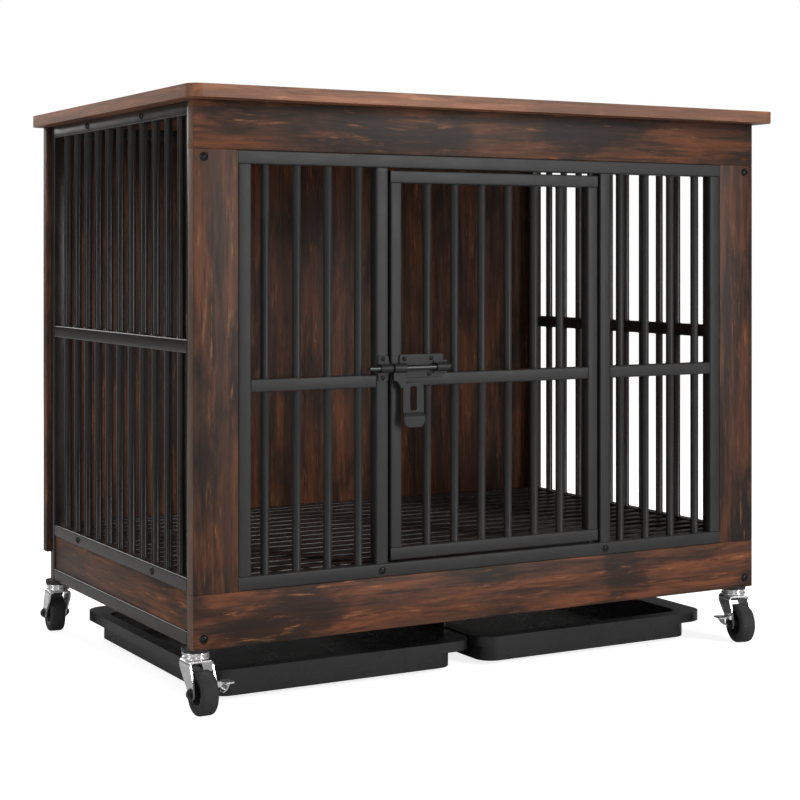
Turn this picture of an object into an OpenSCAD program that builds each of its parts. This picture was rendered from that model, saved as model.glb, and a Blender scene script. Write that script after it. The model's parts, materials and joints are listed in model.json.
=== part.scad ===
// Furniture-style dog crate: wood-look boards and black steel bars on four swivel casters,
// with a hinged front door, a barrel-bolt latch and two pull-out litter trays.
// Millimetres. The origin is on the floor under the middle of the crate, +Z up.
// +X is to the right of a person facing the door and -Y points out of the door.

/* [Body] */
// Width across the front panel
body_w = 800; // [760:5:840]
// Depth from the front panel's face to the back panel's rear face
body_d = 523; // [500:1:560]
// Height from the underside of the boards to the underside of the top
body_h = 613; // [580:1:650]
// Thickness of the boards
board_t = 15; // [12:0.5:18]
// Outside of the square steel tube
tube = 16; // [14:0.5:18]
// Wall of the square steel tube
tube_wall = 1.2; // [1:0.1:2]
// Diameter of the round bars
bar_d = 10; // [7:0.2:11]
// Wall of the round bars
bar_wall = 1; // [0.8:0.1:1.5]

/* [Top] */
// How far the top overhangs both sides
top_overhang = 15; // [5:1:30]
// How far the top overhangs the front
top_overhang_front = 29; // [5:1:35]
// How far the top overhangs the back panel
top_overhang_back = 11; // [0:1:20]
// Thickness of the top
top_t = 15; // [12:0.5:22]
// Radius of the top's corners seen from above
top_corner_r = 15; // [5:1:40]

/* [Front] */
// Height of the board above the bars
header_h = 55; // [40:1:80]
// Height of the board below the bars
foot_board_h = 61; // [50:1:80]
// Width of the boards beside the bars
post_w = 55; // [45:1:60]
// Left face of the left mullion
mullion_left_x = 231.5; // [225:0.5:235]
// Left face of the right mullion
mullion_right_x = 553; // [551:0.5:560]
// Bars in each of the two fixed sections
front_bars_per_side = 4; // [3:1:5]
// Underside of the front mid rail
front_mid_z = 284; // [260:1:300]

/* [Door] */
// Left edge of the door
door_x = 251; // [250:0.5:252]
// Width of the door
door_w = 298.5; // [297:0.5:299]
// Gap between the door and the rails above and below it
door_gap = 2.6; // [1.5:0.1:4]
// Outside of the door's tube
door_tube = 15; // [13:0.5:15]
// Bars in the door
door_bars_count = 6; // [4:1:7]
// Diameter of the hinge pins
hinge_pin_d = 6; // [4:0.5:7]

/* [Sides] */
// How far the side frames stand in from the front panel's edges
side_inset = 5; // [0:0.5:8]
// Underside of the side mid rail
side_mid_z = 328.5; // [310:0.5:345]
// Bars in each side
side_bars_count = 11; // [8:1:12]
// Distance between side bars
side_bar_pitch = 39.4; // [35:0.1:40]
// Thickness of the kick boards set into the side frames
kick_t = 12; // [9:1:14]

/* [Floor] */
// Number of floor slats
slat_count = 15; // [10:1:15]
// Distance between slats
slat_pitch = 31.5; // [28:0.5:32]
// Width of a slat
slat_w = 14; // [10:1:18]
// Top of the slats above the underside of the boards
floor_z = 75; // [70:1:76]

/* [Trays] */
// Outer edge of the rim in from the body's side
tray_inset = 40; // [40:1:60]
// Gap between the two trays
tray_gap = 7; // [6:1:12]
// Front of the rims behind the front face
tray_front = 46; // [46:1:60]
// Depth of the rim from front to back
tray_d = 428; // [380:1:430]
// Top of the rims below the underside of the boards
tray_drop = 37; // [34:1:40]
// Height of the rim's skirt
tray_skirt = 12.5; // [8:0.5:16]
// Whole height of a tray
tray_h = 30; // [24:0.5:31]
// Wall of the tray
tray_wall = 2.5; // [2:0.1:4]

/* [Casters] */
// Floor to the underside of the boards
caster_h = 73; // [72:1:80]
// Wheel diameter
wheel_d = 50; // [45:1:52]
// Width of the tread
wheel_w = 20; // [16:1:21]
// Axle behind the swivel axis
caster_trail = 20; // [16:1:20]

/* [Hidden] */
$fn = 48;

wood_brown = [0.36, 0.25, 0.19];
top_brown = [0.5, 0.33, 0.22];
charcoal = [0.17, 0.17, 0.18];
side_black = [0.13, 0.12, 0.12];
tray_black = [0.1, 0.1, 0.11];
chrome_grey = [0.8, 0.8, 0.82];
rubber_black = [0.14, 0.14, 0.14];
bolt_black = [0.08, 0.08, 0.08];

frame_w_left = post_w;
frame_w_right = body_w - post_w;
frame_top_z = body_h - header_h;
frame_bottom_z = foot_board_h;
front_mid_y = tube / 2;
section_left = [frame_w_left + tube, mullion_left_x];
section_right = [mullion_right_x + tube, frame_w_right - tube];

door_y = (tube - door_tube) / 2;
door_z0 = frame_bottom_z + tube + door_gap;
door_z1 = frame_top_z - tube - door_gap;
door_x1 = door_x + door_w;
hinge_x = door_x1 - door_tube / 2;
hinge_pin_len = 26;

side_y0 = board_t;
side_y1 = body_d - board_t;
side_rail_y0 = side_y0 + tube;
side_rail_y1 = side_y1 - tube;
side_lower_z = foot_board_h - 1;
side_bar_x = side_inset + tube / 2;

// Bolts: heads in the boards, smaller heads in the tubes, and where the side rails have theirs
panel_bolt_d = 5;
panel_head_d = 10;
panel_head_h = 3;
small_bolt_d = 4;
small_head_d = 9;
small_head_h = 2;
panel_bolts_z = [12, body_h - 64];
rail_bolts_x = [mullion_left_x + tube / 2, mullion_right_x + tube / 2];
rail_bolts_z = foot_board_h + tube / 2;
top_rail_bolts_y = [171, 361];
lower_rail_bolts_y = [136, 397];

slat_h = 12;
bearer_t = 2;
bearer_leg = 20;

rim_r = 28;
pan_lip_side = 6;
pan_lip_middle = 30;
pan_lip_back = 45;
tray_w = (body_w - tray_gap) / 2 - tray_inset;
tray_x_right = (body_w + tray_gap) / 2;
tray_rim_z = -tray_drop;
tray_floor_z = tray_rim_z - tray_h;
hanger_t = 3;
arm_t = 2.5;
arm_w = 24;
tray_arm_y = [tray_front + 80, tray_front + 270];
slide_gap = 0.3;

stem_x = side_inset + tube / 2;
stem_front_y = board_t + tube / 2;
stem_back_y = side_y1 - tube / 2;
// The front face's distance ahead of the origin, which is midway between the casters
front_reach = (stem_front_y + stem_back_y) / 2;
stem_r = 4;
stem_flange_h = 4.5;
axle_r = 3;
run = 0.05;
stem_flange_r = 16.5;
stem_up = 30;
post_z = -17.5;
post_head_r = 6.5;
post_head_h = 3;
plug_h = 24;
leg_in = wheel_w / 2 + 2.5;
leg_t = 2;
leg_out = leg_in + leg_t;
leg_foot_r = 7;
axle_z = wheel_d / 2 - caster_h;
nut_r = 5.3;
nut_h = 4;
tyre_t = 8;
shoulder_r = 4;
boss_r = 6;
// Swivel race: underside, height and radius of each of its three turned steps
race_steps = [[-8, 3.2, 16], [-10, 2.5, 14.2], [-14, 4.5, 15.5]];
bridge_z = [-16, -13.5];
bridge_y = [-15.5, 15];
pedal_pivot_x = leg_out + 3.2;
pedal_pivot_z = axle_z + 9;
pedal_pivot_r = 1.5;
pedal_barrel_r = 2.6;
pedal_barrel_w = 10.4;
pedal_pin_w = 14.8;
pedal_half_w = 9;
pedal_reach = [5, 18];
pedal_web_r = [10.2, 12];
pedal_web_x = 6;
ear_w = 2;
ear_h = 6;
ear_gap = 11;

// Latch: the rod, the base plate that its guide stands on, and the keeper on the mullion.
// Each pair is a lowest and a highest place, across or up.
rod_r = 3;
rod_y = -8;
rod_z = 306.5;
rod_x = [216.5, 326];
rod_tip = 1.5;
plate_front_y = -1.5;
plate_x = [262, 322];
plate_z = [294, 322];
guide_x = [308, 326];
guide_half = 6;
guide_front_y = rod_y - 5;
keeper_plate_z = [291.5, 321.5];
screw_d = 5.5;
screw_h = 1.4;

// Hasp: a collar round the rod, an arm, and a slotted plate whose lower end steps forward
hasp_t = 2;
hasp_y = rod_y - hasp_t / 2;
collar_x = [250, 266.5];
collar_r = 5.6;
hasp_x = [262.5, 290.5];
hasp_z = [236.5, 289];
hasp_corner_r = 8;
hasp_neck_r = 9;
hasp_step = 3;
hasp_step_z = [249.5, 254];
slot_w = 9;
slot_z = [256, 285];

// Casters: swivel axis across and back, and the way each stands at rest, in degrees
caster_spots = [
  [stem_x, stem_front_y, 0],
  [body_w - stem_x, stem_front_y, -12],
  [stem_x, stem_back_y, 174],
  [body_w - stem_x, stem_back_y, 186]
];

// ---------- helpers ----------
module in_body() {
  translate([-body_w / 2, -front_reach, caster_h]) children();
}

module on_right() {
  translate([body_w, 0, 0]) mirror([1, 0, 0]) children();
}

module box_at(low, high) {
  translate(low) cube(high - low);
}

module rounded_rect(low, high, r) {
  translate([low.x + r, low.y]) square([high.x - low.x - 2 * r, high.y - low.y]);
  translate([low.x, low.y + r]) square([high.x - low.x, high.y - low.y - 2 * r]);
  for (x = [low.x + r, high.x - r], y = [low.y + r, high.y - r])
    translate([x, y]) circle(r);
}

// Square tube from one corner to the other, hollow from end to end along the named axis
module square_tube(low, high, axis) {
  size = high - low;
  cut = [for (i = [0:2]) i == axis ? size[i] + 2 : size[i] - 2 * tube_wall];
  shift = [for (i = [0:2]) i == axis ? -1 : tube_wall];
  translate(low) difference() {
    cube(size);
    translate(shift) cube(cut);
  }
}

module upright_bar(x, y, z0, z1) {
  translate([x, y, z0]) difference() {
    cylinder(h = z1 - z0, d = bar_d);
    translate([0, 0, -1]) cylinder(h = z1 - z0 + 2, d = bar_d - 2 * bar_wall);
  }
}

// Children stand on a face at this place, with +Z out of a front face or out of the left frame
module on_front(x, z) {
  translate([x, 0, z]) rotate([90, 0, 0]) children();
}

module on_left(y, z) {
  translate([side_inset, y, z]) rotate([0, -90, 0]) children();
}

// A bolt with its head proud of the face, and the hole that it passes through
module panel_bolt() {
  cylinder(h = panel_head_h, d = panel_head_d);
  translate([0, 0, -board_t]) cylinder(h = board_t + 0.5, d = panel_bolt_d);
}

module panel_bolt_hole() {
  translate([0, 0, -board_t - 1]) cylinder(h = board_t + 2, d = panel_bolt_d + 2 * run);
}

module tube_bolt() {
  cylinder(h = small_head_h, d = small_head_d);
  translate([0, 0, -tube_wall - 2]) cylinder(h = tube_wall + 2.5, d = small_bolt_d);
}

module tube_bolt_hole() {
  translate([0, 0, -tube_wall - 1]) cylinder(h = tube_wall + 2, d = small_bolt_d + 2 * run);
}

module caster_place(i) {
  in_body() translate([caster_spots[i][0], caster_spots[i][1], 0])
    rotate([0, 0, caster_spots[i][2]]) children();
}

// ---------- boards ----------
module tabletop() {
  color(top_brown) in_body() translate([0, 0, body_h]) linear_extrude(top_t)
    rounded_rect([-top_overhang, -top_overhang_front],
      [body_w + top_overhang, body_d + top_overhang_back], top_corner_r);
}

module front_header_board() {
  color(wood_brown) in_body() box_at([0, 0, frame_top_z], [body_w, board_t, body_h]);
}

module front_left_post() {
  color(wood_brown) in_body() difference() {
    box_at([0, 0, frame_bottom_z], [frame_w_left, board_t, frame_top_z]);
    on_front(stem_x, panel_bolts_z[1]) panel_bolt_hole();
  }
}

module front_right_post() {
  color(wood_brown) in_body() difference() {
    box_at([frame_w_right, 0, frame_bottom_z], [body_w, board_t, frame_top_z]);
    on_front(body_w - stem_x, panel_bolts_z[1]) panel_bolt_hole();
  }
}

module front_bottom_board() {
  color(wood_brown) in_body() difference() {
    box_at([0, 0, 0], [body_w, board_t, foot_board_h]);
    for (x = [stem_x, body_w - stem_x]) on_front(x, panel_bolts_z[0]) panel_bolt_hole();
  }
}

module kick_board() {
  x0 = side_inset + (tube - kick_t) / 2;
  color(wood_brown) box_at([x0, side_rail_y0, tube], [x0 + kick_t, side_rail_y1, side_lower_z]);
}

module back_panel() {
  color(wood_brown) in_body() box_at([0, side_y1, 37], [body_w, body_d, body_h]);
}

// ---------- front frame ----------
// The two long rails each have one clearance hole for a hinge pin.
module front_rail(z, hole_z) {
  difference() {
    square_tube([frame_w_left, 0, z], [frame_w_right, tube, z + tube], 0);
    translate([hinge_x, front_mid_y, hole_z])
      cylinder(h = 4, r = hinge_pin_d / 2 + run, center = true);
  }
}

module front_top_rail() {
  color(charcoal) in_body() front_rail(frame_top_z - tube, frame_top_z - tube);
}

module front_bottom_rail() {
  color(charcoal) in_body() difference() {
    front_rail(frame_bottom_z, frame_bottom_z + tube);
    for (x = rail_bolts_x) on_front(x, rail_bolts_z) tube_bolt_hole();
  }
}

module front_upright(x) {
  square_tube([x, 0, frame_bottom_z + tube], [x + tube, tube, frame_top_z - tube], 2);
}

module front_stiles() {
  color(charcoal) in_body() for (x = [frame_w_left, frame_w_right - tube]) front_upright(x);
}

module front_mullions() {
  color(charcoal) in_body() for (x = [mullion_left_x, mullion_right_x]) front_upright(x);
}

module front_mid_rails() {
  color(charcoal) in_body() for (s = [section_left, section_right])
    square_tube([s[0], 0.5, front_mid_z], [s[1], 15.5, front_mid_z + 15], 0);
}

module front_bars() {
  color(charcoal) in_body() for (s = [section_left, section_right], i = [0:front_bars_per_side - 1]) {
    x = s[0] + (i + 0.5) * (s[1] - s[0]) / front_bars_per_side;
    upright_bar(x, front_mid_y, frame_bottom_z + tube, front_mid_z);
    upright_bar(x, front_mid_y, front_mid_z + 15, frame_top_z - tube);
  }
}

// ---------- side frames ----------
module side_bolt_places() {
  for (y = top_rail_bolts_y) on_left(y, body_h - tube / 2) children();
  for (y = lower_rail_bolts_y) on_left(y, side_lower_z + tube / 2) children();
}

module side_rails() {
  color(side_black) difference() {
    for (z = [0, side_lower_z, side_mid_z, body_h - tube])
      square_tube([side_inset, side_rail_y0, z], [side_inset + tube, side_rail_y1, z + tube], 1);
    side_bolt_places() tube_bolt_hole();
  }
}

module side_stiles() {
  color(side_black) for (y = [side_y0, side_rail_y1])
    square_tube([side_inset, y, 0], [side_inset + tube, y + tube, body_h], 2);
}

module side_bars() {
  middle = (side_rail_y0 + side_rail_y1) / 2;
  color(side_black) for (i = [0:side_bars_count - 1]) {
    y = middle + (i - (side_bars_count - 1) / 2) * side_bar_pitch;
    upright_bar(side_bar_x, y, side_lower_z + tube, side_mid_z);
    upright_bar(side_bar_x, y, side_mid_z + tube, body_h - tube);
  }
}

module back_rails() {
  color(side_black) in_body() for (z = [0, side_lower_z, body_h - tube])
    square_tube([side_inset + tube, side_rail_y1, z],
      [body_w - side_inset - tube, side_y1, z + tube], 0);
}

// ---------- floor ----------
module floor_angle() {
  x = side_inset + tube;
  z = floor_z - slat_h;
  box_at([x, side_rail_y0, z - bearer_t], [x + bearer_leg, side_rail_y1, z]);
  box_at([x, side_rail_y0, z - bearer_leg], [x + bearer_t, side_rail_y1, z - bearer_t]);
}

module floor_bearers() {
  z = floor_z - slat_h;
  color(side_black) in_body() {
    floor_angle();
    on_right() floor_angle();
    square_tube([(body_w - tube) / 2, tube, z - tube],
      [(body_w + tube) / 2, side_rail_y1 - 1, z], 1);
  }
}

module floor_slats() {
  x = side_inset + tube + bearer_t + 1;
  middle = (side_rail_y0 + side_rail_y1) / 2;
  color(side_black) in_body() for (i = [0:slat_count - 1]) {
    y = middle + (i - (slat_count - 1) / 2) * slat_pitch;
    square_tube([x, y - slat_w / 2, floor_z - slat_h], [body_w - x, y + slat_w / 2, floor_z], 0);
  }
}

// ---------- trays ----------
// Upright plate in the gap between the trays, under the middle bearer
module tray_hanger() {
  x = body_w / 2 - hanger_t / 2;
  color(side_black) in_body() box_at([x, tray_arm_y[0], tray_floor_z - slide_gap],
    [x + hanger_t, tray_arm_y[1] + arm_w, floor_z - slat_h - tube]);
}

module tray_arms() {
  z = tray_floor_z - slide_gap;
  color(side_black) in_body() for (y = tray_arm_y)
    box_at([tray_inset + 40, y, z - arm_t], [body_w - tray_inset - 60, y + arm_w, z]);
}

// One tray: a pan, hung inside a wider rim that has a skirt. x0 is the rim's left edge and
// outer_first is true where the crate's outer side is on the left.
module tray(x0, lip_left, lip_right) {
  low = [x0, tray_front];
  high = [x0 + tray_w, tray_front + tray_d];
  pan_low = [x0 + lip_left, tray_front];
  pan_high = [high.x - lip_right, high.y - pan_lip_back];
  pan_r = 22;
  w = tray_wall;
  mouth_low = [x0 + max(lip_left, 14) + w, tray_front + 18];
  mouth_high = [pan_high.x - w, pan_high.y - w];
  color(tray_black) in_body() difference() {
    union() {
      translate([0, 0, tray_rim_z - tray_skirt]) linear_extrude(tray_skirt)
        rounded_rect(low, high, rim_r);
      translate([0, 0, tray_floor_z]) linear_extrude(tray_h - tray_skirt)
        rounded_rect(pan_low, pan_high, pan_r);
    }
    // inside of the pan, below the rim's top plate
    translate([0, 0, tray_floor_z + w]) linear_extrude(tray_h - 2 * w)
      rounded_rect(pan_low + [w, w], pan_high - [w, w], pan_r - w);
    // mouth through the top plate
    translate([0, 0, tray_rim_z - w - 1]) linear_extrude(w + 2)
      rounded_rect(mouth_low, mouth_high, 16);
    // hollow behind the skirt, open below
    translate([0, 0, tray_rim_z - tray_skirt - 1]) linear_extrude(tray_skirt - w + 1)
      difference() {
        rounded_rect(low + [w, w], high - [w, w], rim_r - w);
        rounded_rect(pan_low, pan_high, pan_r);
      }
  }
}

module left_tray() {
  tray(tray_inset, pan_lip_side, pan_lip_middle);
}

module right_tray() {
  tray(tray_x_right, pan_lip_side, pan_lip_middle);
}

// ---------- fasteners ----------
module panel_bolts() {
  color(bolt_black) in_body() for (x = [stem_x, body_w - stem_x], z = panel_bolts_z)
    on_front(x, z) panel_bolt();
}

module frame_bolts() {
  color(bolt_black) in_body() {
    for (x = rail_bolts_x) on_front(x, rail_bolts_z) tube_bolt();
    side_bolt_places() tube_bolt();
    on_right() side_bolt_places() tube_bolt();
  }
}

// ---------- door ----------
module door_rails() {
  color(charcoal) in_body() {
    for (z = [door_z0, door_z1 - door_tube]) difference() {
      square_tube([door_x, door_y, z], [door_x1, door_y + door_tube, z + door_tube], 0);
      translate([hinge_x, front_mid_y, z - 1]) cylinder(h = door_tube + 2, d = hinge_pin_d);
    }
    square_tube([door_x + door_tube, door_y, front_mid_z],
      [door_x1 - door_tube, door_y + door_tube, front_mid_z + 15], 0);
  }
}

module door_stiles() {
  color(charcoal) in_body() for (x = [door_x, door_x1 - door_tube])
    square_tube([x, door_y, door_z0 + door_tube],
      [x + door_tube, door_y + door_tube, door_z1 - door_tube], 2);
}

module door_bars() {
  inner = door_w - 2 * door_tube;
  color(charcoal) in_body() for (i = [1:door_bars_count]) {
    x = door_x + door_tube + i * inner / (door_bars_count + 1);
    upright_bar(x, front_mid_y, door_z0 + door_tube, front_mid_z);
    upright_bar(x, front_mid_y, front_mid_z + 15, door_z1 - door_tube);
  }
}

module hinge_pins() {
  color(bolt_black) in_body() for (z = [frame_bottom_z + tube - 10, frame_top_z - tube + 10 - hinge_pin_len])
    translate([hinge_x, front_mid_y, z]) cylinder(h = hinge_pin_len, d = hinge_pin_d);
}

// ---------- latch ----------
module latch_plate() {
  color(bolt_black) in_body()
    box_at([plate_x[0], plate_front_y, plate_z[0]], [plate_x[1], door_y, plate_z[1]]);
}

// Runs along X through the rod's axis
module rod_hole(x0, x1, r) {
  translate([x0 - 1, rod_y, rod_z]) rotate([0, 90, 0]) cylinder(h = x1 - x0 + 2, r = r);
}

module latch_guide() {
  color(bolt_black) in_body() difference() {
    box_at([guide_x[0], guide_front_y, rod_z - guide_half],
      [guide_x[1], plate_front_y, rod_z + guide_half]);
    rod_hole(guide_x[0], guide_x[1], rod_r + run);
  }
}

module small_screw(x, z) {
  translate([x, plate_front_y, z]) rotate([90, 0, 0]) cylinder(h = screw_h, d = screw_d);
}

module latch_screws() {
  color(bolt_black) in_body() {
    for (x = [plate_x[0] + 6.5, plate_x[0] + 43]) small_screw(x, plate_z[1] - 5);
    for (x = [plate_x[0] + 6.5, plate_x[0] + 40]) small_screw(x, plate_z[0] + 4);
  }
}

module latch_bolt() {
  color(bolt_black) in_body() translate([rod_x[0], rod_y, rod_z]) rotate([0, 90, 0]) {
    cylinder(h = rod_tip, r1 = rod_r - 1.2, r2 = rod_r);
    translate([0, 0, rod_tip]) cylinder(h = rod_x[1] - rod_x[0] - rod_tip, r = rod_r);
  }
}

module latch_keeper() {
  x0 = mullion_left_x + 1;
  x1 = mullion_left_x + tube;
  color(bolt_black) in_body() difference() {
    union() {
      box_at([x0 + 1.5, plate_front_y, keeper_plate_z[0]], [x1 - 2, 0, keeper_plate_z[1]]);
      box_at([x0, guide_front_y, rod_z - guide_half], [x1, 0, rod_z + guide_half]);
    }
    rod_hole(x0, x1, rod_r + 0.6);
  }
}

module keeper_screws() {
  color(bolt_black) in_body() for (z = [keeper_plate_z[0] + 3.8, keeper_plate_z[1] - 3.8])
    small_screw(mullion_left_x + tube / 2, z);
}

// Plate seen from the side: upright, then a step forward, then upright again
module hasp_profile() {
  y = hasp_y;
  polygon([[y, hasp_z[1]], [y, hasp_step_z[1]], [y - hasp_step, hasp_step_z[0]],
    [y - hasp_step, hasp_z[0]], [y - hasp_step + hasp_t, hasp_z[0]],
    [y - hasp_step + hasp_t, hasp_step_z[0]], [y + hasp_t, hasp_step_z[1]],
    [y + hasp_t, hasp_z[1]]]);
}

// Arm from the collar down to the plate, hollowed out on its free side
module hasp_neck() {
  foot_z = hasp_z[1] - 6;
  difference() {
    box_at([collar_x[0], hasp_y, foot_z], [collar_x[1], hasp_y + hasp_t, rod_z]);
    translate([collar_x[0], hasp_y - 1, foot_z]) rotate([-90, 0, 0])
      cylinder(h = hasp_t + 2, r = hasp_neck_r);
  }
}

module hasp() {
  middle = (hasp_x[0] + hasp_x[1]) / 2;
  color(bolt_black) in_body() difference() {
    union() {
      translate([collar_x[0], rod_y, rod_z]) rotate([0, 90, 0])
        cylinder(h = collar_x[1] - collar_x[0], r = collar_r);
      hasp_neck();
      intersection() {
        translate([hasp_x[0] - 1, 0, 0]) rotate([90, 0, 90])
          linear_extrude(hasp_x[1] - hasp_x[0] + 2) hasp_profile();
        translate([0, hasp_y + 10, 0]) rotate([90, 0, 0]) linear_extrude(20)
          rounded_rect([hasp_x[0], hasp_z[0]], [hasp_x[1], hasp_z[1]], hasp_corner_r);
      }
    }
    rod_hole(collar_x[0], collar_x[1], rod_r + run);
    translate([0, hasp_y + 10, 0]) rotate([90, 0, 0]) linear_extrude(20)
      rounded_rect([middle - slot_w / 2, slot_z[0]], [middle + slot_w / 2, slot_z[1]], 3);
  }
}

// ---------- casters ----------
module stem_plugs() {
  s = tube - 2 * tube_wall;
  color(bolt_black) in_body() for (c = caster_spots) translate([c[0], c[1], 0]) difference() {
    translate([-s / 2, -s / 2, 0]) cube([s, s, plug_h]);
    translate([0, 0, -1]) cylinder(h = plug_h + 2, r = stem_r);
  }
}

// Stem, black flange under the tube, and a headed post that the fork turns on
module caster_stems() {
  color(bolt_black) in_body() for (c = caster_spots) translate([c[0], c[1], 0]) {
    translate([0, 0, post_z]) cylinder(h = stem_up - post_z, r = stem_r);
    translate([0, 0, -stem_flange_h]) cylinder(h = stem_flange_h, r = stem_flange_r);
    translate([0, 0, post_z - post_head_h]) cylinder(h = post_head_h, r = post_head_r);
  }
}

module fork_leg_outline() {
  polygon([[15, -14], [-15.5, -14], [-caster_trail - 5.5, axle_z + 12],
    [-caster_trail - 7, axle_z], [-caster_trail + 6.5, axle_z - 2], [12, -24]]);
  translate([-caster_trail, axle_z]) circle(leg_foot_r);
}

module fork_leg(x) {
  translate([x, 0, 0]) rotate([90, 0, 90]) linear_extrude(leg_t) fork_leg_outline();
}

module pedal_ears() {
  for (side = [-1, 1]) difference() {
    y = -caster_trail + side * (ear_gap + ear_w) / 2 - ear_w / 2;
    translate([leg_out, y, pedal_pivot_z - ear_h / 2]) cube([ear_h, ear_w, ear_h]);
    translate([pedal_pivot_x, y - 1, pedal_pivot_z]) rotate([-90, 0, 0])
      cylinder(h = ear_w + 2, r = pedal_pivot_r + run);
  }
}

// Race with two rings, a bridge and two legs. side is 1 or -1 for pedal ears on +X or -X, or 0.
module fork(side) {
  color(chrome_grey) difference() {
    union() {
      for (s = race_steps) translate([0, 0, s[0]]) cylinder(h = s[1], r = s[2]);
      box_at([-leg_out, bridge_y[0], bridge_z[0]], [leg_out, bridge_y[1], bridge_z[1]]);
      fork_leg(leg_in);
      fork_leg(-leg_out);
      if (side > 0) pedal_ears();
      if (side < 0) mirror([1, 0, 0]) pedal_ears();
    }
    translate([0, 0, -20]) cylinder(h = 20, r = stem_r + run);
    translate([-30, -caster_trail, axle_z]) rotate([0, 90, 0]) cylinder(h = 60, r = axle_r);
  }
}

module axle() {
  color(bolt_black) translate([0, -caster_trail, axle_z]) rotate([0, 90, 0]) {
    translate([0, 0, -leg_out]) cylinder(h = 2 * leg_out, r = axle_r);
    translate([0, 0, leg_out]) cylinder(h = nut_h, r = nut_r, $fn = 6);
    translate([0, 0, -leg_out - nut_h]) cylinder(h = nut_h, r = nut_r, $fn = 6);
  }
}

module hub() {
  color(side_black) translate([0, -caster_trail, axle_z]) rotate([0, 90, 0]) difference() {
    union() {
      translate([0, 0, -wheel_w / 2 + 1]) cylinder(h = wheel_w - 2, r = wheel_d / 2 - tyre_t);
      translate([0, 0, -leg_in + 0.4]) cylinder(h = 2 * leg_in - 0.8, r = boss_r);
    }
    translate([0, 0, -wheel_w]) cylinder(h = 2 * wheel_w, r = axle_r + run);
  }
}

module tyre_section() {
  r = wheel_d / 2;
  e = shoulder_r;
  translate([r - tyre_t, -wheel_w / 2]) square([tyre_t - e, wheel_w]);
  translate([r - tyre_t, -wheel_w / 2 + e]) square([tyre_t, wheel_w - 2 * e]);
  for (y = [-wheel_w / 2 + e, wheel_w / 2 - e]) translate([r - e, y]) circle(e);
}

module tyre() {
  color(rubber_black) translate([0, -caster_trail, axle_z]) rotate([0, 90, 0])
    rotate_extrude($fn = 72) tyre_section();
}

// Foot plate with a curved web below it, on trunnions in the fork's ears, for the +X side
module pedal_shape() {
  color(chrome_grey) translate([pedal_pivot_x, -caster_trail, pedal_pivot_z]) {
    rotate([90, 0, 0]) cylinder(h = pedal_barrel_w, r = pedal_barrel_r, center = true);
    rotate([90, 0, 0]) cylinder(h = pedal_pin_w, r = pedal_pivot_r, center = true);
    box_at([0, -pedal_barrel_w / 2, -1], [pedal_reach[0] + 1, pedal_barrel_w / 2, 1]);
    box_at([pedal_reach[0], -pedal_half_w, -1], [pedal_reach[1], pedal_half_w, 1]);
    translate([-1, 0, -0.5]) rotate([90, 0, 0])
      linear_extrude(2 * pedal_half_w, center = true) intersection() {
        difference() {
          circle(pedal_web_r[1]);
          circle(pedal_web_r[0]);
        }
        translate([pedal_web_x, -pedal_web_r[1]]) square([pedal_web_r[1], pedal_web_r[1]]);
      }
  }
}

module front_left_fork() { caster_place(0) fork(1); }
module front_left_axle() { caster_place(0) axle(); }
module front_left_hub() { caster_place(0) hub(); }
module front_left_tyre() { caster_place(0) tyre(); }
module front_left_pedal() { caster_place(0) pedal_shape(); }
module front_right_fork() { caster_place(1) fork(-1); }
module front_right_axle() { caster_place(1) axle(); }
module front_right_hub() { caster_place(1) hub(); }
module front_right_tyre() { caster_place(1) tyre(); }
module front_right_pedal() { caster_place(1) mirror([1, 0, 0]) pedal_shape(); }
module back_left_fork() { caster_place(2) fork(0); }
module back_left_axle() { caster_place(2) axle(); }
module back_left_hub() { caster_place(2) hub(); }
module back_left_tyre() { caster_place(2) tyre(); }
module back_right_fork() { caster_place(3) fork(0); }
module back_right_axle() { caster_place(3) axle(); }
module back_right_hub() { caster_place(3) hub(); }
module back_right_tyre() { caster_place(3) tyre(); }

module left_kick_board() { in_body() kick_board(); }
module right_kick_board() { in_body() on_right() kick_board(); }
module left_side_rails() { in_body() side_rails(); }
module right_side_rails() { in_body() on_right() side_rails(); }
module left_side_stiles() { in_body() side_stiles(); }
module right_side_stiles() { in_body() on_right() side_stiles(); }
module left_side_bars() { in_body() side_bars(); }
module right_side_bars() { in_body() on_right() side_bars(); }

tabletop();
front_header_board();
front_left_post();
front_right_post();
front_bottom_board();
left_kick_board();
right_kick_board();
back_panel();
front_top_rail();
front_bottom_rail();
front_stiles();
front_mullions();
front_mid_rails();
front_bars();
left_side_rails();
left_side_stiles();
left_side_bars();
right_side_rails();
right_side_stiles();
right_side_bars();
back_rails();
floor_bearers();
floor_slats();
tray_hanger();
tray_arms();
panel_bolts();
frame_bolts();
stem_plugs();
caster_stems();
latch_keeper();
keeper_screws();
door_rails();
door_stiles();
door_bars();
hinge_pins();
latch_plate();
latch_guide();
latch_screws();
latch_bolt();
hasp();
left_tray();
right_tray();
front_left_fork();
front_left_axle();
front_left_hub();
front_left_tyre();
front_left_pedal();
front_right_fork();
front_right_axle();
front_right_hub();
front_right_tyre();
front_right_pedal();
back_left_fork();
back_left_axle();
back_left_hub();
back_left_tyre();
back_right_fork();
back_right_axle();
back_right_hub();
back_right_tyre();
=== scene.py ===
import bpy
import bmesh
import json
from math import pi, sin, cos, sqrt, radians
from mathutils import Matrix, Vector


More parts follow.
